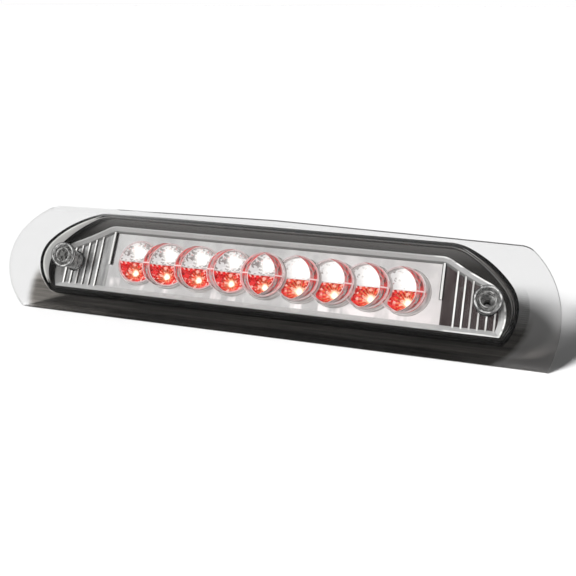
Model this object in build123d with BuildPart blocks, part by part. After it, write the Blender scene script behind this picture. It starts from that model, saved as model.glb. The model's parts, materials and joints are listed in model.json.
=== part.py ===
from build123d import *

import os

# High-mount third brake light with cargo lamps: clear wrap-over lens, chrome reflector, nine twin-LED cups.
# X runs along the lamp, +Z is up and the lamp shines towards -Y. The origin lies on the rear mounting face,
# midway between the two mounting screws. All lengths are in millimetres.

# ---- lens face: an arc in side view, carried straight along X -----------------------------------------
ARC_Y = 30.0
ARC_Z = 8.0
ARC_R = 62.0
LENS_T = 2.5
LENS_REAR_Y = -0.5
SEAL_T = 1.6
SEAL_W = 2.6
FIT = 0.3
HAIR = 0.05

# ---- depths along Y -----------------------------------------------------------------------------------
GASKET_T = 3.0
GASKET_INSET = 1.5
WALL = 2.5
RIB_END_Y = -20.0
TRIM_T = 1.5
BEZEL_Y = -15.0
TRIM_Y = -13.0
PANEL_Y = -10.0
PANEL_T = 2.0
LIP_T = 1.5
LIP_W = 5.5
BOARD_Y = 2.0
BOARD_T = 1.6
REAR_Y = 20.0
FRONT = 60.0

# ---- outlines in front view, right-hand half: side arc, ends of the tangent shoulder arcs, top ----------
FLANGE = ([(224.0, -44.5), (228.0, -8.0), (217.3, 26.0)], [(206.2, 42.2), (196.0, 47.0)], 51.5)
WINDOW = ([(190.5, -29.5), (199.0, -7.0), (192.0, 13.0)], [(160.0, 40.3), (146.0, 44.5)], 44.5)
BEZEL = ([(187.5, -25.0), (191.2, -8.0), (185.5, 9.5)], [(177.5, 16.2), (149.0, 31.0), (141.0, 33.9)], 34.0)

# ---- mounting screws ----------------------------------------------------------------------------------
SCREW_X = 176.5
SCREW_R = 2.75
HEAD_R = 5.6
BOSS_R = 9.6
BOSS_REAR_R = 8.0
BOSS_DRAFT = 2.4
BOSS_HOLE_R = 9.1
BOSS_END_Y = -12.0
HEAD_SEAT_Y = -17.0

# ---- light cups ---------------------------------------------------------------------------------------
CUPS = 9
CUP_PITCH = 29.3
CUP_FRONT_PITCH = 27.9
CUP_Z = 3.5
BARREL_R = 19.6
BARREL_FRONT_R = 18.6
BARREL_WALL = 1.5
BARREL_FRONT_Y = -20.0
BARREL_BOW = 2.5
BARREL_REAR_Y = -5.0
BOWL_FRONT_Y = -12.0
BOWL_REAR_Y = -5.0
BOWL_R = 16.4
BOWL_FLOOR = 1.2
BOWL_FLOOR_R = 4.0
SEPTUM = 0.8
RED_Z = CUP_Z - 8.5
WHITE_Z = CUP_Z + 9.5

# ---- LEDs ---------------------------------------------------------------------------------------------
LED_R = 2.5
LED_RIM_R = 2.9
LED_RIM_T = 1.0
LED_H = 9.4

# ---- ribbed end panels --------------------------------------------------------------------------------
RIBS = 7
RIB_X = 152.8
RIB_PITCH = 6.05
RIB_W = 1.3
RIB_H = 1.6
POST_X = 141.5
POST_W = 2.2
POST_H = 2.6
POST_TOP = 29.0
POST_BOTTOM = 0.0

# ---- rear bulge of the housing and what it holds ------------------------------------------------------
BULGE_W = 318.0
BULGE_H = 60.0
BULGE_Z = 7.0
BULGE_R = 9.0
BOARD_W = 296.0
BOARD_H = 50.0
BOARD_R = 3.0
STUD_R = 3.5
THREAD_R = 1.1
THREAD_LENGTH = 7.0
SCREW_HOLE_R = 1.6
PAN_HEAD_R = 2.8
PAN_HEAD_T = 1.8
BOARD_SCREWS = [(-141, -13), (141, -13), (-141, 27), (141, 27)]

# ---- small parts on the back of the board: width and height, then thickness -----------------------------
RESISTOR = (3.2, 1.6)
RESISTOR_T = 0.6
RESISTOR_DX = 8.0
CHIP = (6.5, 6.1)
CHIP_T = 2.3
CHIP_X = 40.0
DIODE = (4.6, 2.7)
DIODE_T = 2.1
DIODE_X = 60.0

# ---- connector inlet ----------------------------------------------------------------------------------
INLET_W = 24.0
INLET_H = 15.0
INLET_LENGTH = 14.0
INLET_WALL = 1.6
PINS = 3
PIN_PITCH = 6.0
PIN_W = 1.6
PIN_DEPTH = 6.0

os.makedirs("parts", exist_ok=True)


def front_plane(y):
    """A plane square to Y, with local axes X and Z; its normal points to the front."""
    return Plane(origin=(0, y, 0), x_dir=(1, 0, 0), z_dir=(0, -1, 0))


def outline(shape, grow=0.0):
    """The closed, left-right symmetric outline of a shape, grown or shrunk all round."""
    side, shoulder, top = shape
    with BuildSketch() as face:
        with BuildLine():
            Line((0, side[0][1]), side[0])
            edge = ThreePointArc(*side)
            for end in shoulder:
                edge = TangentArc(edge @ 1, end, tangent=edge % 1)
            Line(shoulder[-1], (0, top))
            mirror(about=Plane.YZ)
        make_face()
        if grow:
            offset(amount=grow, kind=Kind.INTERSECTION, mode=Mode.REPLACE)
    return face.sketch


def tube(radius, mode=Mode.ADD):
    """The inside of a cylinder about the axis of the lens arc."""
    with BuildSketch(Plane.YZ) as disc:
        with Locations((ARC_Y, ARC_Z)):
            Circle(radius)
    extrude(disc.sketch, amount=240, both=True, mode=mode)


def cone(x_rear, x_front, z, y_rear, y_front, r_rear, r_front, mode=Mode.ADD):
    """A leaning round cone between two planes square to Y."""
    with BuildSketch(front_plane(y_rear)) as rear:
        with Locations((x_rear, z)):
            Circle(r_rear)
    with BuildSketch(front_plane(y_front)) as front:
        with Locations((x_front, z)):
            Circle(r_front)
    loft([rear.sketch, front.sketch], mode=mode)


def drill(points, radius, y_rear, y_front, mode=Mode.SUBTRACT):
    """Round holes, or pins, along Y."""
    with BuildSketch(front_plane(y_rear)) as discs:
        with Locations(*points):
            Circle(radius)
    extrude(discs.sketch, amount=y_rear - y_front, mode=mode)


def block(x, z, width, height, y_rear, y_front, radius=0.0, mode=Mode.ADD):
    """A box between two planes square to Y, with rounded corners where a radius is given."""
    with BuildSketch(front_plane(y_rear)) as profile:
        with Locations((x, z)):
            if radius:
                RectangleRounded(width, height, radius)
            else:
                Rectangle(width, height)
    extrude(profile.sketch, amount=y_rear - y_front, mode=mode)


def save(piece, name):
    piece.part.label = name
    export_step(piece.part, f"parts/{name}.step")
    print(f"{name:20s} {piece.part.volume:10.1f} mm3, {len(piece.part.solids())} solid(s)")


screws = [(-SCREW_X, 0), (SCREW_X, 0)]
inner_r = ARC_R - LENS_T
window = outline(WINDOW)
window_seal = outline(WINDOW, -SEAL_W)
window_wall = outline(WINDOW, -WALL)
rib_outer = outline(WINDOW, -SEAL_W - FIT)
rib_inner = outline(WINDOW, -SEAL_W - FIT - TRIM_T)
bezel = outline(BEZEL)
bezel_fit = outline(BEZEL, -FIT)
bezel_lip = outline(BEZEL, -LIP_T)
bezel_foot = outline(BEZEL, -LIP_W)
rib_zone = outline(BEZEL, FIT - LIP_W + LIP_T)

# ---- outer lens: arc-shaped clear cover with its skirt, screw bosses and locating rib ------------------
with BuildPart() as lens_skin:
    tube(ARC_R)
    tube(inner_r, mode=Mode.SUBTRACT)
    with BuildSketch(front_plane(LENS_REAR_Y)):
        add(outline(FLANGE))
    extrude(amount=FRONT, mode=Mode.INTERSECT)
with BuildPart() as lens_rib:
    with BuildSketch(front_plane(RIB_END_Y)):
        add(rib_outer)
        add(rib_inner, mode=Mode.SUBTRACT)
    extrude(amount=FRONT)
    for sx, sz in screws:
        cone(sx, sx, sz, BOSS_END_Y, -FRONT, BOSS_REAR_R, BOSS_R + BOSS_DRAFT)
    tube(ARC_R - LENS_T / 2, mode=Mode.INTERSECT)
with BuildPart() as outer_lens:
    add(lens_skin.part)
    add(lens_rib.part)
    drill(screws, HEAD_R, HEAD_SEAT_Y, -FRONT)
    drill(screws, SCREW_R, 0, -FRONT)
save(outer_lens, "outer_lens")

# ---- black sealing bead between the lens and the housing rim -------------------------------------------
with BuildPart() as lens_seal:
    with BuildSketch(front_plane(-GASKET_T)):
        add(window)
        add(window_seal, mode=Mode.SUBTRACT)
    extrude(amount=FRONT)
    tube(inner_r - HAIR, mode=Mode.INTERSECT)
    tube(inner_r - SEAL_T, mode=Mode.SUBTRACT)
save(lens_seal, "lens_seal")

# ---- rear housing --------------------------------------------------------------------------------------
with BuildPart() as rear_housing:
    with BuildSketch(front_plane(-GASKET_T)):
        add(window)
    extrude(amount=FRONT)
    tube(inner_r - SEAL_T - HAIR, mode=Mode.INTERSECT)
    with BuildSketch(front_plane(-GASKET_T - WALL)):
        add(window_wall)
    extrude(amount=FRONT, mode=Mode.SUBTRACT)
    block(0, BULGE_Z, BULGE_W, BULGE_H, REAR_Y, -GASKET_T, BULGE_R)
    block(0, BULGE_Z, BULGE_W - 2 * WALL, BULGE_H - 2 * WALL, REAR_Y - WALL, -FRONT, BULGE_R - WALL,
          Mode.SUBTRACT)
    drill(screws, BOSS_REAR_R, -GASKET_T - 1, BOSS_END_Y + FIT, mode=Mode.ADD)
    drill(screws, SCREW_R, 0, -FRONT)
    drill(BOARD_SCREWS, STUD_R, REAR_Y - WALL, BOARD_Y + BOARD_T, mode=Mode.ADD)
    drill(BOARD_SCREWS, THREAD_R, BOARD_Y + BOARD_T + THREAD_LENGTH + 1, BOARD_Y)
    block(0, BULGE_Z, INLET_W + FIT, INLET_H + FIT, REAR_Y + 1, REAR_Y - WALL - 1, mode=Mode.SUBTRACT)
save(rear_housing, "rear_housing")

# ---- foam gasket on the mounting face ------------------------------------------------------------------
with BuildPart() as body_gasket:
    with BuildSketch(front_plane(0)):
        add(outline(WINDOW, -GASKET_INSET))
        with Locations((0, BULGE_Z)):
            RectangleRounded(BULGE_W + 2 * FIT, BULGE_H + 2 * FIT, BULGE_R + FIT, mode=Mode.SUBTRACT)
        with Locations(*screws):
            Circle(SCREW_R, mode=Mode.SUBTRACT)
    extrude(amount=GASKET_T)
save(body_gasket, "body_gasket")

# ---- dark trim ring between the housing rim and the reflector -------------------------------------------
with BuildPart() as trim_ring:
    with BuildSketch(front_plane(TRIM_Y)):
        add(rib_outer)
        add(bezel, mode=Mode.SUBTRACT)
    extrude(amount=TRIM_T)
    with BuildSketch(front_plane(TRIM_Y)):
        add(rib_outer)
        add(rib_inner, mode=Mode.SUBTRACT)
    extrude(amount=TRIM_Y - RIB_END_Y - FIT)
    tube(inner_r - SEAL_T, mode=Mode.INTERSECT)
save(trim_ring, "trim_ring")

# ---- light cups: clear barrels and chrome bowls, the middle one standing furthest forward ---------------
middle = (CUPS - 1) // 2


def envelope(i, grow, wall=0.0, mode=Mode.ADD):
    """The leaning cone of cup i, counted from the middle one."""
    y_front = BARREL_FRONT_Y + BARREL_BOW * (i / middle) ** 2
    lean = (CUP_FRONT_PITCH - CUP_PITCH) * i
    reach = 0.0 if mode == Mode.ADD and not grow else 1.0
    span = BARREL_REAR_Y - y_front
    x_rear = CUP_PITCH * i - lean * reach / span
    x_front = CUP_PITCH * i + lean * (span + reach) / span
    r_rear = BARREL_R + grow - wall
    r_front = BARREL_FRONT_R + grow - wall
    cone(x_rear, x_front, CUP_Z, BARREL_REAR_Y + reach, y_front - reach, r_rear, r_front, mode)


for i in range(-middle, middle + 1):
    number = i + middle + 1
    inner = i - (i > 0) + (i < 0)
    with BuildPart() as barrel:
        envelope(i, 0)
        envelope(i, 0, BARREL_WALL, Mode.SUBTRACT)
        if i:
            envelope(inner, FIT, 0, Mode.SUBTRACT)
        tube(inner_r - 1.0, mode=Mode.INTERSECT)
    save(barrel, f"cup_barrel_{number}")
    with BuildPart() as bowl:
        x = CUP_PITCH * i
        drill([(x, CUP_Z)], 2 * BARREL_R, BOWL_REAR_Y, BOWL_FRONT_Y, mode=Mode.ADD)
        envelope(i, -FIT, BARREL_WALL, Mode.INTERSECT)
        for sign in (-1, 1):
            with BuildSketch(front_plane(BOWL_FRONT_Y)):
                with Locations((x, CUP_Z)):
                    Circle(BOWL_R)
                with Locations((x, CUP_Z - sign * (2 * BOWL_R - SEPTUM / 2))):
                    Rectangle(4 * BOWL_R, 4 * BOWL_R, mode=Mode.SUBTRACT)
            with BuildSketch(front_plane(BOWL_REAR_Y - BOWL_FLOOR)):
                with Locations((x, WHITE_Z if sign > 0 else RED_Z)):
                    Circle(BOWL_FLOOR_R)
            loft(mode=Mode.SUBTRACT)
        drill([(x, RED_Z), (x, WHITE_Z)], LED_R + FIT, 0, -FRONT)
        if i:
            envelope(inner, FIT, 0, Mode.SUBTRACT)
    save(bowl, f"reflector_bowl_{number}")
    for colour, z in (("red", RED_Z), ("white", WHITE_Z)):
        with BuildPart() as led:
            drill([(x, z)], LED_RIM_R, BOARD_Y, BOARD_Y - LED_RIM_T, mode=Mode.ADD)
            drill([(x, z)], LED_R, BOARD_Y - LED_RIM_T, BOARD_Y - LED_H + LED_R, mode=Mode.ADD)
            with Locations((x, BOARD_Y - LED_H + LED_R, z)):
                Sphere(LED_R)
        save(led, f"{colour}_led_{number}")

# ---- chrome reflector panel ------------------------------------------------------------------------------
with BuildPart() as reflector:
    with BuildSketch(front_plane(PANEL_Y + PANEL_T)):
        add(bezel_fit)
    extrude(amount=PANEL_Y + PANEL_T - BEZEL_Y)
    with BuildSketch(front_plane(BEZEL_Y)):
        add(bezel_lip)
    with BuildSketch(front_plane(PANEL_Y)):
        add(bezel_foot)
    loft(mode=Mode.SUBTRACT)
    with BuildSketch(front_plane(PANEL_Y + HAIR)):
        with Locations(*[(s * (RIB_X + k * RIB_PITCH), 0) for s in (-1, 1) for k in range(RIBS)]):
            Rectangle(RIB_W, BULGE_W)
        add(rib_zone, mode=Mode.INTERSECT)
    extrude(amount=RIB_H)
    for side in (-1, 1):
        post_z = (POST_TOP + POST_BOTTOM) / 2
        block(side * POST_X, post_z, POST_W, POST_TOP - POST_BOTTOM, PANEL_Y + HAIR, PANEL_Y - POST_H)
    for i in range(-middle, middle + 1):
        envelope(i, FIT, 0, Mode.SUBTRACT)
    drill(screws, BOSS_HOLE_R, 0, -FRONT)
save(reflector, "reflector_panel")

# ---- circuit board and its parts ----------------------------------------------------------------------------
board_rear_y = BOARD_Y + BOARD_T
with BuildPart() as circuit_board:
    block(0, BULGE_Z, BOARD_W, BOARD_H, board_rear_y, BOARD_Y, BOARD_R)
    drill(BOARD_SCREWS, SCREW_HOLE_R, FRONT, -FRONT)
save(circuit_board, "circuit_board")

with BuildPart() as resistors:
    for i in range(-middle, middle + 1):
        for z in (RED_Z, WHITE_Z):
            block(CUP_PITCH * i + RESISTOR_DX, z, *RESISTOR, board_rear_y + RESISTOR_T, board_rear_y)
save(resistors, "resistors")

with BuildPart() as driver_chip:
    block(CHIP_X, BULGE_Z, *CHIP, board_rear_y + CHIP_T, board_rear_y)
save(driver_chip, "driver_chip")

with BuildPart() as surge_diode:
    block(DIODE_X, BULGE_Z, *DIODE, board_rear_y + DIODE_T, board_rear_y)
save(surge_diode, "surge_diode")

with BuildPart() as board_screws:
    drill(BOARD_SCREWS, PAN_HEAD_R, BOARD_Y, BOARD_Y - PAN_HEAD_T, mode=Mode.ADD)
    drill(BOARD_SCREWS, THREAD_R, board_rear_y + THREAD_LENGTH, BOARD_Y, mode=Mode.ADD)
save(board_screws, "board_screws")

# ---- connector inlet on the rear face ------------------------------------------------------------------------
inlet_end = REAR_Y + INLET_LENGTH
inside_w = INLET_W - 2 * INLET_WALL
inside_h = INLET_H - 2 * INLET_WALL
with BuildPart() as connector_inlet:
    block(0, BULGE_Z, INLET_W, INLET_H, inlet_end, REAR_Y - WALL, 2.0)
    block(0, BULGE_Z, INLET_W + 4, INLET_H + 4, REAR_Y + INLET_WALL, REAR_Y, 3.0)
    block(0, BULGE_Z, inside_w, inside_h, inlet_end + 1, REAR_Y + 1, 1.0, Mode.SUBTRACT)
    for k in range(PINS):
        block((k - 1) * PIN_PITCH, BULGE_Z, PIN_W, PIN_W, inlet_end, 0, mode=Mode.SUBTRACT)
save(connector_inlet, "connector_inlet")

with BuildPart() as connector_pins:
    for k in range(PINS):
        block((k - 1) * PIN_PITCH, BULGE_Z, PIN_W, PIN_W, inlet_end - PIN_DEPTH, board_rear_y)
save(connector_pins, "connector_pins")
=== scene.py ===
"""Third brake light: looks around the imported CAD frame.

Metres, X along the lamp, +Z up, and the lamp shines to -Y.
"""

import json
import math
import random

import bmesh
import bpy
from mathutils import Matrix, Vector


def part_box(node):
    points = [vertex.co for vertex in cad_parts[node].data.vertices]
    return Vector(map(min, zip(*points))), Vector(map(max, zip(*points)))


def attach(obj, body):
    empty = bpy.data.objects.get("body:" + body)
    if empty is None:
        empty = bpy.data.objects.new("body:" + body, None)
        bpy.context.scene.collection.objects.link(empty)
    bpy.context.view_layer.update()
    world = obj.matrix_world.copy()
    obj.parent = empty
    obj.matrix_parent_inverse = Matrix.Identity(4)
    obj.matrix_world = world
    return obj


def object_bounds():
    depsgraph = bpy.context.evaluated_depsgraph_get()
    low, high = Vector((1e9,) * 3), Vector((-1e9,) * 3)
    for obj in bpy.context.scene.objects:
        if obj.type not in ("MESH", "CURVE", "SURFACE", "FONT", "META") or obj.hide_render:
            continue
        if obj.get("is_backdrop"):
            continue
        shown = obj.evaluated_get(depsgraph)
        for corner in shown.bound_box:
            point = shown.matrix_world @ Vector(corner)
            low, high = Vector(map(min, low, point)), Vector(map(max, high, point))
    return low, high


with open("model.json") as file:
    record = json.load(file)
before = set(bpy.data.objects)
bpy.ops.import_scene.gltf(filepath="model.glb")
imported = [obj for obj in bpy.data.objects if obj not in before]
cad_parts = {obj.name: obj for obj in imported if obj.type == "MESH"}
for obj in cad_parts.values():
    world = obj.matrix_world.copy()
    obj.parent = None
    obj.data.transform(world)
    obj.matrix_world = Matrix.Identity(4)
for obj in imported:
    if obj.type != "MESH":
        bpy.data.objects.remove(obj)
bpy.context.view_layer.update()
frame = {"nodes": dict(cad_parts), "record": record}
nodes = frame["nodes"]
scene = bpy.context.scene
random.seed(7)

# ---- camera -------------------------------------------------------------------------------------------
CAMERA_AT = Vector((0.1728, -0.5635, -0.1150))
CAMERA_TURN = [math.radians(a) for a in (101.125, -9.075, 13.651)]
CAMERA_LENS = 45.0
SENSOR_WIDTH = 36

# ---- dimensions of the CAD parts, listed from their source ------------------------------------------------
CUPS = 9
MIDDLE = (CUPS + 1) // 2
CUP_PITCH, CUP_FRONT_PITCH = 0.0293, 0.0279
RIM_R = 0.0186
SCREW_X = 0.1765
ARC_Y, ARC_Z, ARC_INSIDE = 0.0300, 0.0080, 0.0575
END_ARC_X, END_ARC_Z = 0.1659, -0.0070
SKIRT_X = 0.1985
POST_TOP_Z = 0.0292
lens_low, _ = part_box("outer_lens")

# ---- sizes of the pieces made here ------------------------------------------------------------------------
SHEET_T = 0.0003
DISC_PITCH = (CUP_FRONT_PITCH + CUP_PITCH) / 2
DISC_EDGE = 0.0014
DISC_SETBACK = 0.0025
NEIGHBOUR_GAP = 0.0004
HALF_GAP = 0.0002
LAMP_SINK = 0.0004
FACET_JITTER = 0.0006
COLLAR_LIFT = 0.0006
COLLAR_SLOPE = 0.0016
COLLAR_HALF_ANGLE = 80

# ---- studio -------------------------------------------------------------------------------------------
FLOOR_UP = Vector((0.0, -0.560, 0.828)).normalized()
FLOOR_REACH = 30.0
FLOOR_TOUCH_Y = -0.0005
SUN_HEIGHT = math.radians(32)
SUN_SIDE = math.radians(30)
SUN_SPREAD = math.radians(13)
SUN_ENERGY = 6.1
WORLD_SEEN, WORLD_DIFFUSE = 1.0, 0.05


# ---- material helpers -----------------------------------------------------------------------------------
class Tree:
    """Builds one material's node tree; sockets and numbers are both taken as inputs."""

    def __init__(self, name):
        self.mat = bpy.data.materials.new(name)
        self.mat.use_nodes = True
        self.nt = self.mat.node_tree
        self.nt.nodes.clear()
        self.out = self.nt.nodes.new("ShaderNodeOutputMaterial")

    def node(self, kind, inputs=None, **settings):
        n = self.nt.nodes.new(kind)
        for key, value in settings.items():
            setattr(n, key, value)
        for key, value in (inputs or {}).items():
            self.put(n.inputs[key], value)
        return n

    def put(self, socket, value):
        if isinstance(value, bpy.types.NodeSocket):
            self.nt.links.new(value, socket)
        elif isinstance(value, tuple) and len(value) == 3 and socket.type == "RGBA":
            socket.default_value = (*value, 1.0)
        else:
            socket.default_value = value

    def surface(self, shader):
        self.nt.links.new(shader, self.out.inputs["Surface"])
        return self.mat

    def math(self, kind, *values):
        n = self.nt.nodes.new("ShaderNodeMath")
        n.operation = kind
        for i, v in enumerate(values):
            self.put(n.inputs[i], v)
        return n.outputs[0]

    def times(self, *values):
        """The product of two or more values."""
        product = values[0]
        for value in values[1:]:
            product = self.math("MULTIPLY", product, value)
        return product

    def rest(self, value):
        """What is left of 1 when the value is taken away."""
        return self.math("SUBTRACT", 1.0, value)

    def length(self, a, b):
        """The length of the vector (a, b)."""
        return self.math("SQRT", self.math("ADD", self.times(a, a), self.times(b, b)))

    def clear(self, colour):
        return self.node("ShaderNodeBsdfTransparent", {"Color": colour}).outputs[0]

    def is_shadow_ray(self):
        return self.node("ShaderNodeLightPath").outputs["Is Shadow Ray"]

    def place(self):
        """Object-space position, split into x, y and z."""
        at = self.node("ShaderNodeTexCoord").outputs["Object"]
        s = self.node("ShaderNodeSeparateXYZ", {0: at})
        return at, s.outputs[0], s.outputs[1], s.outputs[2]

    def facing(self):
        """The surface normal in the frame's axes, split into x, y and z."""
        geo = self.node("ShaderNodeNewGeometry")
        s = self.node("ShaderNodeSeparateXYZ", {0: geo.outputs["True Normal"]})
        return s.outputs[0], s.outputs[1], s.outputs[2]

    def ramp(self, fac, low, high, to_low=0.0, to_high=1.0, smooth=False):
        n = self.node("ShaderNodeMapRange", {"Value": fac, "From Min": low, "From Max": high,
                                             "To Min": to_low, "To Max": to_high})
        n.clamp = True
        if smooth:
            n.interpolation_type = "SMOOTHSTEP"
        return n.outputs["Result"]

    def fall(self, fac, start, end):
        """1 up to the start, 0 from the end on."""
        return self.ramp(fac, start, end, 1.0, 0.0)

    def mix(self, fac, a, b):
        n = self.node("ShaderNodeMix", data_type="RGBA")
        self.put(n.inputs[0], fac)
        self.put(n.inputs[6], a)
        self.put(n.inputs[7], b)
        return n.outputs[2]

    def blend(self, fac, a, b):
        return self.node("ShaderNodeMixShader", {0: fac, 1: a, 2: b}).outputs[0]

    def scaled(self, at, by):
        return self.node("ShaderNodeVectorMath", {0: at, 1: by}, operation="MULTIPLY").outputs[0]

    def noise(self, at, scale, detail=3.0, stretch=None):
        if stretch:
            at = self.scaled(at, stretch)
        grain = self.node("ShaderNodeTexNoise", {"Vector": at, "Scale": scale, "Detail": detail})
        return grain.outputs["Fac"]

    def cells(self, at, scale):
        """One random value for each cell of a mosaic."""
        mosaic = self.node("ShaderNodeTexVoronoi", {"Vector": at, "Scale": scale})
        return self.node("ShaderNodeSeparateColor", {0: mosaic.outputs["Color"]}).outputs[0]

    def bump(self, height, distance, strength=0.5):
        return self.node("ShaderNodeBump", {"Height": height, "Distance": distance,
                                            "Strength": strength}).outputs["Normal"]

    def principled(self, **inputs):
        named = {k.replace("_", " "): v for k, v in inputs.items()}
        return self.node("ShaderNodeBsdfPrincipled", named).outputs[0]

    def unshaded(self, shader, share=0.8):
        """Lets most light through on its way to what lies behind, as clear plastic does."""
        return self.blend(self.times(self.is_shadow_ray(), share), shader, self.clear((1.0, 1.0, 1.0)))


def plastic(name, colour, rough, scale=500.0, vary=0.2, bump=0.00002, metal=0.0, gloss=0.5):
    """Moulded plastic, rubber or metal with a fine grain and slightly uneven gloss."""
    t = Tree(name)
    at, _, _, _ = t.place()
    grain = t.noise(at, scale)
    dark = tuple(c * (1 - vary) for c in colour)
    light = tuple(min(1.0, c * (1 + vary)) for c in colour)
    return t.surface(t.principled(Base_Color=t.mix(grain, dark, light), Metallic=metal,
                                  Roughness=t.ramp(grain, 0.3, 0.7, rough * 0.8, rough * 1.2),
                                  Specular_IOR_Level=gloss, Normal=t.bump(grain, bump)))


def from_screw(t, x, z):
    """The distance from the nearer mounting screw's axis."""
    return t.length(t.math("SUBTRACT", t.math("ABSOLUTE", x), SCREW_X), z)


def lens_tint(t, at, x, z, haze, low):
    """The colour of light through the lens: clear, with painted shadow darkening it along the bottom, a
    striated right-hand end, and painted shadow fading in towards the bottom below that end.
    """
    ax = t.math("ABSOLUTE", x)
    arc_r = t.length(t.math("SUBTRACT", ax, END_ARC_X), t.math("SUBTRACT", z, END_ARC_Z))
    outside = t.times(t.ramp(arc_r, 0.0325, 0.0330), t.ramp(ax, 0.150, 0.160))
    at_right = t.ramp(x, 0.0, 0.1)

    band = t.times(outside, at_right, t.fall(arc_r, 0.0398, 0.0408), t.ramp(z, 0.012, -0.010))
    lines = t.math("SINE", t.times(z, 4200.0))
    stripes = t.times(band, t.ramp(lines, -1.0, 1.0, 0.25, 0.65))
    tint = t.mix(t.times(haze, 0.3), (0.910, 0.910, 0.910), (0.885, 0.885, 0.885))
    tint = t.mix(stripes, tint, (0.45, 0.45, 0.44))

    # Painted shadow: the lens is darkened along the bottom, standing for the floor shadow behind it, and
    # fades out at both ends.
    lean = t.times(t.math("ADD", z, 0.015), 0.55)
    left_end = t.math("SUBTRACT", t.math("ADD", ax, lean), SKIRT_X)
    left_end = t.ramp(left_end, -0.003, 0.006, 1.0, 0.0, smooth=True)
    right_end = t.math("MAXIMUM", t.fall(arc_r, 0.0395, 0.0450), t.fall(ax, 0.168, 0.172))
    right = t.ramp(x, -0.01, 0.01)
    shadow_strip = t.math("ADD", t.times(right, right_end), t.times(t.rest(right), left_end))
    shadow_strip = t.times(shadow_strip, t.math("MAXIMUM", low, t.times(outside, t.ramp(z, -0.008, -0.022))))
    streak = t.noise(at, 300.0, 2.0, (0.03, 1.0, 1.0))
    painted_shadow_tone = t.mix(t.ramp(streak, 0.4, 0.6), (0.34, 0.33, 0.315), (0.50, 0.48, 0.46))
    tint = t.mix(shadow_strip, tint, painted_shadow_tone)

    # Painted shadow: below the right-hand end the lens darkens towards the bottom, standing for the lamp's
    # shadow behind it.
    beyond = t.math("MAXIMUM", outside, t.times(low, t.ramp(ax, 0.165, 0.175)))
    painted_shadow_fade = t.times(beyond, at_right, t.ramp(z, 0.006, -0.042))
    painted_shadow_fade = t.times(painted_shadow_fade, t.rest(t.math("MAXIMUM", shadow_strip, stripes)))
    return t.mix(painted_shadow_fade, tint, (0.78, 0.77, 0.765))


def lens_look():
    """Clear plastic: nearly all light passes straight on, under a soft gloss; a bright rib and glassy bosses
    that glow with painted light, with a painted highlight circle, a painted shadow circle and painted shade
    in the screw holes.
    """
    t = Tree("clear_lens")
    at, x, y, z = t.place()
    _, ny, _ = t.facing()
    ax = t.math("ABSOLUTE", x)
    upright = t.fall(t.math("ABSOLUTE", ny), 0.25, 0.30)
    haze = t.noise(at, 60.0, 2.0)
    side = t.ramp(ax, SKIRT_X, SKIRT_X + 0.0015)
    low = t.fall(z, -0.031, -0.0295)
    shade = t.times(t.math("MAXIMUM", side, low), t.is_shadow_ray())
    through = t.clear(t.mix(shade, lens_tint(t, at, x, z, haze, low), (0.03, 0.03, 0.03)))
    gloss = t.node("ShaderNodeBsdfGlossy", {"Color": (1.0, 1.0, 1.0), "Roughness": 0.03}).outputs[0]
    edge = t.node("ShaderNodeFresnel", {"IOR": 1.18}).outputs[0]
    skin = t.blend(t.times(edge, 0.9), through, gloss)

    r = from_screw(t, x, z)
    boss = t.fall(r, 0.0126, 0.0128)
    wall = t.times(upright, t.fall(t.math("MAXIMUM", side, boss), 0.4, 0.6))
    wall = t.times(wall, t.ramp(z, -0.0290, -0.0285), t.fall(z, 0.0425, 0.0430))
    # The upright rib walls glow through emission: painted light. Towards the right they are dimmed to near
    # black.
    rib_silver_and_glow = t.mix(haze, (0.52, 0.52, 0.51), (0.70, 0.70, 0.68))
    dim = t.times(t.ramp(x, 0.05, 0.12), t.ramp(y, -0.0210, -0.0216))
    rib_silver_and_glow = t.mix(dim, rib_silver_and_glow, (0.035, 0.032, 0.030))
    rib = t.principled(Base_Color=rib_silver_and_glow, Roughness=0.3, Emission_Color=rib_silver_and_glow, Emission_Strength=0.55)
    skin = t.blend(t.times(wall, 0.9), skin, rib)

    # The bosses glow through emission: painted light. The light circle is a painted highlight; the dark
    # circle and the inside of the screw hole are painted shade.
    swirl = t.noise(at, 330.0, 2.0)
    contrast = t.ramp(swirl, 0.40, 0.60)
    glassy = t.mix(contrast, (0.035, 0.033, 0.032), (0.50, 0.50, 0.49))
    glowing_tube = t.principled(Base_Color=glassy, Roughness=0.15, Emission_Color=glassy, Emission_Strength=0.25)
    painted_shade_hollow = t.principled(Base_Color=(0.02, 0.02, 0.02), Roughness=0.2)
    glowing_tube = t.blend(t.ramp(r, 0.0050, 0.0056, 0.6, 0.0), glowing_tube, painted_shade_hollow)
    hole = t.times(t.fall(r, 0.0060, 0.0062), boss)
    highlight_ring = t.times(t.ramp(r, 0.0088, 0.0091), t.fall(r, 0.0098, 0.0101))
    shadow_ring = t.times(t.ramp(r, 0.0101, 0.0103), t.fall(r, 0.0108, 0.0112))
    front = t.times(boss, t.ramp(y, -0.0270, -0.0280))
    ring_colour = t.mix(contrast, (0.10, 0.10, 0.10), (0.55, 0.55, 0.54))
    ring_look = t.principled(Base_Color=ring_colour, Roughness=0.2)
    dark_look = t.principled(Base_Color=(0.03, 0.03, 0.03), Roughness=0.2)
    skin = t.blend(t.times(highlight_ring, front, 0.70), skin, ring_look)
    skin = t.blend(t.times(shadow_ring, front, 0.60), skin, dark_look)
    skin = t.blend(t.times(boss, upright, 0.45), skin, glowing_tube)
    return t.surface(t.blend(t.times(hole, 0.55), skin, glowing_tube))


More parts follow.
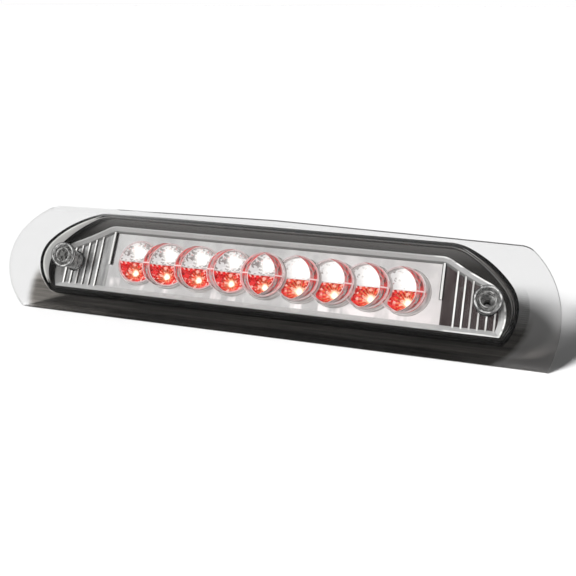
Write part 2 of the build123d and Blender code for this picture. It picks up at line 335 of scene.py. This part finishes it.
def barrel_look():
    """Clear cup barrels: glassy streaks by the rim, a pale frosted wall behind it that glows with painted
    light, a front edge with a painted highlight.
    """
    t = Tree("clear_barrel")
    at, _, y, _ = t.place()
    _, ny, _ = t.facing()
    edge = t.ramp(t.math("ABSOLUTE", ny), 0.80, 0.90)
    streaks = t.noise(at, 260.0, 3.0, (0.35, 1.6, 0.35))
    wall = t.mix(t.ramp(streaks, 0.42, 0.60), (0.06, 0.045, 0.042), (0.34, 0.31, 0.30))
    through = t.clear((0.90, 0.86, 0.86))
    body = t.principled(Base_Color=wall, Roughness=0.15)
    skin = t.blend(t.ramp(streaks, 0.35, 0.65, 0.05, 0.25), through, body)
    # The frosted wall glows through emission: painted light.
    haze = t.mix(t.ramp(streaks, 0.42, 0.58), (0.36, 0.34, 0.335), (0.66, 0.62, 0.61))
    frost_glow = t.principled(Base_Color=haze, Roughness=0.3, Emission_Color=haze, Emission_Strength=0.45)
    skin = t.blend(t.ramp(y, -0.0168, -0.0160, 0.0, 0.8), skin, frost_glow)
    # The front edge: a pale pink painted highlight.
    rim = t.principled(Base_Color=(0.90, 0.74, 0.74), Roughness=0.25)
    return t.surface(t.unshaded(t.blend(edge, skin, t.blend(0.30, through, rim))))


def collar_look():
    """The clear collar at a barrel's rim: dark glass streaks along the rim, red glints of painted LED light,
    pale edges that are painted highlights.
    """
    t = Tree("clear_collar")
    uv = t.node("ShaderNodeUVMap").outputs[0]
    s = t.node("ShaderNodeSeparateXYZ", {0: uv})
    along, out = s.outputs[0], s.outputs[1]
    grain = t.noise(t.scaled(uv, (3.0, 1.2, 1.0)), 4.0, 3.0)
    wave = t.math("SINE", t.math("ADD", t.times(out, 11.0), t.times(grain, 9.0)))
    glass = t.mix(t.ramp(wave, -1.0, 1.0), (0.050, 0.034, 0.030), (0.36, 0.30, 0.29))
    # Red glints: painted light from the LEDs.
    red = t.times(t.ramp(t.noise(uv, 7.0, 2.0), 0.44, 0.56), t.ramp(along, 0.15, 0.35))
    glass = t.mix(t.times(red, 0.85), glass, (0.60, 0.035, 0.035))
    seam = t.times(t.ramp(along, 0.485, 0.495), t.fall(along, 0.505, 0.515))
    # Pale edges: painted highlights.
    pale = t.math("MAXIMUM", t.ramp(out, 0.10, 0.05), t.math("MAXIMUM", t.ramp(out, 0.93, 0.97), seam))
    glass = t.mix(t.times(pale, 0.85), glass, (0.80, 0.62, 0.61))
    return t.surface(t.unshaded(t.principled(Base_Color=glass, Roughness=0.2)))


def chrome_look():
    """Metallised reflector: pale field between the posts with painted caustics under the cups, the left
    ribbed end painted lit and the right one in painted shade, rib tops with painted highlights and their
    sides in painted shade, painted shade on the bowl walls and by the posts.
    """
    t = Tree("chrome")
    at, x, y, z = t.place()
    nx, ny, nz = t.facing()
    ax = t.math("ABSOLUTE", x)
    front = t.ramp(t.math("ABSOLUTE", ny), 0.85, 0.92)
    sideways = t.ramp(t.math("ABSOLUTE", nx), 0.8, 0.9)
    cloud = t.noise(at, 45.0, 3.0, (1.0, 1.0, 0.6))
    grain = t.noise(at, 220.0, 3.0, (1.0, 1.0, 0.15))

    field = t.mix(t.ramp(cloud, 0.35, 0.65), (0.36, 0.358, 0.355), (0.50, 0.495, 0.490))
    # Painted caustics: pale patches under the cups.
    flame = t.noise(at, 80.0, 2.0, (1.0, 1.0, 0.35))
    under = t.times(t.ramp(flame, 0.50, 0.60), t.ramp(z, -0.010, -0.016))
    field = t.mix(t.times(under, 0.8), field, (0.85, 0.80, 0.80))
    blush = t.times(t.ramp(x, 0.02, 0.11), t.ramp(cloud, 0.40, 0.60, 0.35, 0.75))
    field = t.mix(blush, field, (0.62, 0.580, 0.575))

    # Painted light and shade: the left ribbed end is painted lit, the right one dark as in shade.
    speckle = t.ramp(grain, 0.35, 0.65)
    left = t.mix(speckle, (0.17, 0.17, 0.168), (0.34, 0.34, 0.335))
    right = t.mix(speckle, (0.030, 0.021, 0.021), (0.062, 0.050, 0.049))
    lit_and_shaded_ends = t.mix(t.ramp(x, -0.02, 0.02), left, right)
    end = t.times(t.ramp(ax, 0.1425, 0.1430), t.ramp(y, -0.0102, -0.0100))
    colour = t.mix(end, field, lit_and_shaded_ends)

    # Faces that do not face forward: painted shade, darker deeper in, lighter where they face up.
    bowl_wall_shading = t.mix(t.ramp(y, -0.0124, -0.0116), (0.40, 0.40, 0.395), (0.15, 0.148, 0.145))
    bowl_wall_shading = t.mix(t.ramp(nz, -0.2, 0.2), bowl_wall_shading, (0.50, 0.50, 0.495))
    colour = t.mix(t.rest(front), colour, bowl_wall_shading)
    # Painted highlight along the front crests, brightest towards the right end.
    crest = t.times(t.ramp(y, -0.0140, -0.0145), front)
    glint = t.ramp(t.noise(at, 150.0, 2.0, (0.4, 1.0, 2.0)), 0.38, 0.5)
    gleam = t.times(t.ramp(x, 0.120, 0.155), glint)
    colour = t.mix(crest, colour, t.mix(gleam, (0.36, 0.36, 0.355), (0.86, 0.86, 0.84)))

    # Rib sides in painted shade, rib tops with a painted highlight.
    rib = t.times(t.ramp(y, -0.0104, -0.0106), t.ramp(ax, 0.1500, 0.1505), t.ramp(y, -0.0122, -0.0120))
    colour = t.mix(t.times(rib, sideways), colour, (0.085, 0.08, 0.078))
    rib_top_highlight = t.mix(t.ramp(grain, 0.38, 0.55), (0.42, 0.41, 0.40), (0.82, 0.82, 0.80))
    colour = t.mix(t.times(rib, front), colour, rib_top_highlight)

    # Painted shade by the posts: dark on their inner side and sides, paler elsewhere on the post.
    under_top = t.fall(z, POST_TOP_Z, POST_TOP_Z + 0.0004)
    post = t.times(t.ramp(y, -0.0122, -0.0124), t.ramp(ax, 0.1395, 0.1400), front)
    post = t.times(post, t.fall(ax, 0.1427, 0.1430), under_top, t.ramp(z, -0.0010, -0.0005))
    post_with_painted_shade = t.mix(t.ramp(ax, 0.1409, 0.1412), (0.06, 0.058, 0.056), (0.66, 0.66, 0.64))
    colour = t.mix(post, colour, post_with_painted_shade)
    shaded_flank = t.times(sideways, t.fall(ax, 0.1430, 0.1435), t.ramp(ax, 0.1390, 0.1395), under_top)
    colour = t.mix(shaded_flank, colour, (0.030, 0.028, 0.027))
    return t.surface(t.principled(Base_Color=colour, Metallic=0.0,
                                  Roughness=t.ramp(cloud, 0.3, 0.7, 0.2, 0.34), Specular_IOR_Level=0.25))


def trim_look():
    """Smoked trim: a dark flat ledge with a slow sheen, lighter along the top."""
    t = Tree("smoked_trim")
    at, _, _, z = t.place()
    soft = t.noise(at, 30.0, 2.0, (0.4, 1.0, 1.0))
    ledge = t.mix(t.ramp(z, 0.026, 0.044), (0.014, 0.013, 0.012), (0.115, 0.112, 0.109))
    ledge = t.mix(t.times(soft, 0.4), ledge, (0.030, 0.028, 0.026))
    return t.surface(t.principled(Base_Color=ledge, Roughness=t.ramp(soft, 0.3, 0.7, 0.25, 0.4),
                                  Specular_IOR_Level=0.15))


def housing_look():
    """Black moulded housing; the screw post tops are a satin grey."""
    t = Tree("black_housing")
    at, x, y, z = t.place()
    grain = t.noise(at, 500.0)
    post = t.times(t.fall(from_screw(t, x, z), 0.0086, 0.0088), t.ramp(y, -0.0055, -0.0060))
    black = t.mix(grain, (0.008, 0.0075, 0.007), (0.016, 0.015, 0.014))
    grey = t.mix(t.ramp(t.noise(at, 160.0), 0.4, 0.6), (0.22, 0.22, 0.22), (0.45, 0.45, 0.44))
    return t.surface(t.principled(Base_Color=t.mix(post, black, grey),
                                  Roughness=t.ramp(grain, 0.3, 0.7, 0.42, 0.6), Specular_IOR_Level=0.2,
                                  Normal=t.bump(grain, 0.00002)))


def lamp_look(name, colour, strength):
    """A lit LED: its own colour, speckled with warm white."""
    t = Tree(name)
    at, _, _, _ = t.place()
    tint = t.mix(t.noise(at, 900.0, 2.0), colour, (1.0, 0.95, 0.85))
    return t.surface(t.principled(Base_Color=colour, Roughness=0.15, Emission_Color=tint,
                                  Emission_Strength=strength))


def halo(t, r, inner, outer):
    """1 at the LED, falling to 0 at the outer radius."""
    return t.ramp(r, inner, outer, 1.0, 0.0, smooth=True)


def red_optic_look(name, reach, spread):
    """Faceted red half of a cup: a starburst round the LED over deep red facets with pale glints."""
    t = Tree(name)
    at, x, _, z = t.place()
    r = t.length(x, z)
    near = halo(t, r, 0.0012, reach)
    turn = t.math("ARCTAN2", z, x)
    ray = t.math("ABSOLUTE", t.math("SINE", t.times(turn, 9.0)))
    rays = t.times(t.ramp(ray, 0.55, 0.95), t.fall(r, 0.003, spread))
    pick = t.cells(at, 520.0)
    facet = t.mix(t.ramp(pick, 0.15, 0.6), (0.36, 0.004, 0.006), (0.93, 0.035, 0.035))
    facet = t.mix(t.ramp(pick, 0.80, 0.86), facet, (1.0, 0.62, 0.56))
    lit = t.mix(rays, facet, (1.0, 0.50, 0.20))
    lit = t.mix(near, lit, (1.0, 0.96, 0.70))
    power = t.math("ADD", t.ramp(pick, 0.0, 1.0, 0.55, 0.95), t.times(near, 1.2))
    # The facets glow through emission: painted light from the LED, with a painted starburst and halo round
    # it.
    return t.surface(t.unshaded(t.principled(Base_Color=(0.22, 0.008, 0.008), Roughness=0.2,
                                             Emission_Color=lit, Emission_Strength=power)))


def white_optic_look(name, sparkle, reach):
    """Faceted white half of a cup: blown-out white near the LED, grey and pink sparkle away from it."""
    t = Tree(name)
    at, x, _, z = t.place()
    near = halo(t, t.length(x, z), 0.0025, reach)
    pick = t.cells(at, 640.0)
    facet = t.mix(t.ramp(pick, 0.70 - sparkle, 0.78 - sparkle), (0.97, 0.93, 0.92), (0.30, 0.25, 0.24))
    facet = t.mix(t.ramp(pick, 0.90, 0.93), facet, (0.85, 0.42, 0.40))
    lit = t.mix(near, facet, (1.0, 0.99, 0.95))
    power = t.math("ADD", 0.80, t.times(near, 0.6))
    # The facets glow through emission: painted light from the LED, white in a painted halo round it.
    return t.surface(t.unshaded(t.principled(Base_Color=(0.12, 0.12, 0.12), Roughness=0.3,
                                             Emission_Color=lit, Emission_Strength=power)))


def floor_look():
    """White paper with a faint sheen; from below it can be seen through."""
    t = Tree("floor")
    at, _, _, _ = t.place()
    paper = t.principled(Base_Color=(0.96, 0.96, 0.96), Specular_IOR_Level=0.12,
                         Roughness=t.ramp(t.noise(at, 40.0), 0.3, 0.7, 0.12, 0.18))
    back = t.node("ShaderNodeNewGeometry").outputs["Backfacing"]
    return t.surface(t.blend(back, paper, t.clear((1.0, 1.0, 1.0))))


looks = {
    "clear_lens": lens_look(),
    "clear_barrel": barrel_look(),
    "chrome": chrome_look(),
    "smoked_trim": trim_look(),
    "black_seal": plastic("black_seal", (0.003, 0.003, 0.003), 0.5, gloss=0.08),
    "black_housing": housing_look(),
    "foam": plastic("foam", (0.025, 0.025, 0.025), 0.9, scale=900.0, bump=0.0001),
    "board_green": plastic("board_green", (0.02, 0.13, 0.05), 0.4),
    "component_black": plastic("component_black", (0.03, 0.03, 0.03), 0.5),
    "screw_steel": plastic("screw_steel", (0.55, 0.55, 0.55), 0.3, metal=1.0),
    "terminal_metal": plastic("terminal_metal", (0.75, 0.58, 0.28), 0.3, metal=1.0),
    "red_emitter": lamp_look("red_emitter", (1.0, 0.62, 0.25), 4.0),
    "white_emitter": lamp_look("white_emitter", (1.0, 1.0, 0.93), 5.0),
}
slot_of = {s["node"]: s["material_slot"] for s in frame["record"]["subparts"]}
for name, ob in nodes.items():
    ob.data.materials.clear()
    ob.data.materials.append(looks[slot_of[name]])


# ---- faceted optics in the cups -------------------------------------------------------------------------
def lens_limit(z):
    """The foremost y that stays behind the lens at height z."""
    return ARC_Y - math.sqrt(ARC_INSIDE ** 2 - (z - ARC_Z) ** 2)


def clip(lamp, p, centre, radius):
    """Pulls p back towards the lamp until it is outside the neighbour's circle."""
    share = 1.0
    while share > 0.2 and math.hypot(lamp.x + (p.x - lamp.x) * share - centre.x,
                                     lamp.z + (p.z - lamp.z) * share - centre.z) < radius:
        share -= 0.02
    return lamp.lerp(p, share)


def add_sheet(name, bm, look):
    """Makes an object of a finished bmesh: a thin sheet with the given look."""
    bmesh.ops.recalc_face_normals(bm, faces=bm.faces[:])
    mesh = bpy.data.meshes.new(name)
    bm.to_mesh(mesh)
    bm.free()
    mesh.materials.append(look)
    ob = bpy.data.objects.new(name, mesh)
    scene.collection.objects.link(ob)
    ob.modifiers.new("thick", "SOLIDIFY").thickness = SHEET_T
    return ob


def facet_half(name, centre, lamp, radius, sign, rim_y, neighbour, look):
    """Half a faceted bowl: its rim is a half disc about centre, its floor lies at the LED."""
    arc_steps, chord_steps, rings = 20, 10, 6
    loop = []
    for k in range(arc_steps):
        a = math.pi * k / arc_steps
        loop.append(Vector((centre.x + radius * math.cos(a), 0, centre.z + sign * radius * math.sin(a))))
    for k in range(chord_steps):
        loop.append(Vector((centre.x + radius * (2 * k / chord_steps - 1), 0, centre.z)))
    if neighbour:
        loop = [clip(lamp, p, *neighbour) for p in loop]
    n = len(loop)
    bm = bmesh.new()
    rows = []
    for j in range(1, rings + 1):
        share = j / rings
        inside = j < rings
        turn = 0.5 * (j % 2) if inside else 0.0
        row = []
        for k in range(n):
            rim = loop[k].lerp(loop[(k + 1) % n], turn)
            p = Vector((lamp.x, 0, lamp.z)).lerp(Vector((rim.x, 0, rim.z)), share)
            front = max(rim_y, lens_limit(p.z))
            y = lamp.y + (front - lamp.y) * share ** 1.5
            y += random.uniform(-FACET_JITTER, FACET_JITTER) if inside else 0.0
            row.append(bm.verts.new((p.x - lamp.x, y - lamp.y, p.z - lamp.z)))
        rows.append(row)
    tip = bm.verts.new((0, 0, 0))
    for k in range(n):
        bm.faces.new((tip, rows[0][k], rows[0][(k + 1) % n]))
    for inner, outer in zip(rows, rows[1:]):
        for k in range(n):
            bm.faces.new((inner[k], outer[k], outer[(k + 1) % n], inner[(k + 1) % n]))
    bmesh.ops.triangulate(bm, faces=bm.faces[:])
    ob = add_sheet(name, bm, look)
    ob.location = lamp
    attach(ob, "root")


def collar(name, centre, outward, inset, reach, y_rim, look):
    """A crescent at a barrel's rim, from inset inside the rim's circle to reach outside it."""
    steps, rows = 36, 6
    bm = bmesh.new()
    uv = bm.loops.layers.uv.new("UVMap")
    grid = []
    for k in range(steps + 1):
        a = math.radians(COLLAR_HALF_ANGLE * (2 * k / steps - 1))
        z = centre.z + RIM_R * math.sin(a)
        front = max(y_rim, lens_limit(z))
        line = []
        for j in range(rows + 1):
            share = j / rows
            x = centre.x + outward * (RIM_R * math.cos(a) - inset + (inset + reach) * share)
            line.append((bm.verts.new((x, front + COLLAR_SLOPE * share, z)), (k / steps, share)))
        grid.append(line)
    for line, after in zip(grid, grid[1:]):
        for j in range(rows):
            quad = [line[j], after[j], after[j + 1], line[j + 1]]
            face = bm.faces.new([vert for vert, _ in quad])
            for corner, (_, place) in zip(face.loops, quad):
                corner[uv].uv = place
    ob = add_sheet(name, bm, look)
    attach(ob, "root")


def collar_span(i, outward):
    """How far a collar reaches inside and outside its rim, for the cup i places from the middle."""
    if outward < 0:
        return 0.0062 - 0.0016 * abs(i), 0.0010 + 0.0016 * abs(i)
    return (0.0072, 0.0) if i else (0.0085, -0.0020)


red_still = red_optic_look("red_optic_still", 0.0040, 0.0085)
red_burst = red_optic_look("red_optic_burst", 0.0052, 0.0125)
sparkling = white_optic_look("white_optic_sparkling", 0.25, 0.0090)
flooded = white_optic_look("white_optic_flooded", -0.10, 0.0140)
clear_collar = collar_look()
optic_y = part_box("cup_barrel_1")[0].y + DISC_SETBACK
cup_z = sum(c.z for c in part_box(f"reflector_bowl_{MIDDLE}")) / 2
for n in range(1, CUPS + 1):
    i = n - MIDDLE
    neighbour = None
    if i:
        toward = i - (1 if i > 0 else -1)
        neighbour = (Vector((DISC_PITCH * toward, 0, cup_z)), RIM_R + NEIGHBOUR_GAP)
    for colour, sign, look in (("red", -1, red_burst if i > 0 else red_still),
                               ("white", 1, flooded if i > 0 else sparkling)):
        low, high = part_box(f"{colour}_led_{n}")
        lamp = Vector(((low.x + high.x) / 2, low.y + LAMP_SINK, (low.z + high.z) / 2))
        centre = Vector((DISC_PITCH * i, 0, cup_z + sign * HALF_GAP))
        facet_half(f"{colour}_facets_{n}", centre, lamp, RIM_R - DISC_EDGE, sign, optic_y, neighbour, look)
    rim_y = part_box(f"cup_barrel_{n}")[0].y
    for outward, side in ((-1, "left"), (1, "right")):
        if i * outward >= 0 and n > 1:
            inset, reach = collar_span(i, outward)
            collar(f"barrel_collar_{side}_{n}", Vector((CUP_FRONT_PITCH * i, 0, cup_z)), outward, inset,
                   reach, rim_y - COLLAR_LIFT, clear_collar)


# ---- floor and light --------------------------------------------------------------------------------------
across = Vector((1, 0, 0))
along = FLOOR_UP.cross(across).normalized()
contact = Vector((0.0, FLOOR_TOUCH_Y, lens_low.z))
corners = [contact + across * a * FLOOR_REACH + along * b * FLOOR_REACH
           for a, b in ((-1, -1), (1, -1), (1, 1), (-1, 1))]
floor_mesh = bpy.data.meshes.new("floor")
floor_mesh.from_pydata(corners, [], [(0, 1, 2, 3)])
floor = bpy.data.objects.new("floor", floor_mesh)
scene.collection.objects.link(floor)
floor.data.materials.append(floor_look())
floor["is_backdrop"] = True

world = bpy.data.worlds.new("studio")
scene.world = world
world.use_nodes = True
nt = world.node_tree
nt.nodes.clear()
path = nt.nodes.new("ShaderNodeLightPath")
strength = nt.nodes.new("ShaderNodeMapRange")
strength.inputs["To Min"].default_value = WORLD_SEEN
strength.inputs["To Max"].default_value = WORLD_DIFFUSE
nt.links.new(path.outputs["Is Diffuse Ray"], strength.inputs["Value"])
background = nt.nodes.new("ShaderNodeBackground")
background.inputs["Color"].default_value = (1, 1, 1, 1)
nt.links.new(strength.outputs["Result"], background.inputs["Strength"])
world_out = nt.nodes.new("ShaderNodeOutputWorld")
nt.links.new(background.outputs[0], world_out.inputs["Surface"])

to_sun = (-math.sin(SUN_SIDE) * across - math.cos(SUN_SIDE) * along) * math.cos(SUN_HEIGHT)
to_sun = to_sun + FLOOR_UP * math.sin(SUN_HEIGHT)
sun = bpy.data.lights.new("studio_light", "SUN")
sun.energy = SUN_ENERGY
sun.angle = SUN_SPREAD
sun_ob = bpy.data.objects.new("studio_light", sun)
sun_ob.visible_glossy = False
sun_ob.rotation_euler = (-to_sun).to_track_quat("-Z", "Y").to_euler()
scene.collection.objects.link(sun_ob)

cam = bpy.data.cameras.new("camera")
cam.lens = CAMERA_LENS
cam.sensor_width = SENSOR_WIDTH
camera = bpy.data.objects.new("camera", cam)
camera.location = CAMERA_AT
camera.rotation_euler = CAMERA_TURN
scene.collection.objects.link(camera)
scene.camera = camera
scene.view_settings.view_transform = "Standard"

low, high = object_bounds()
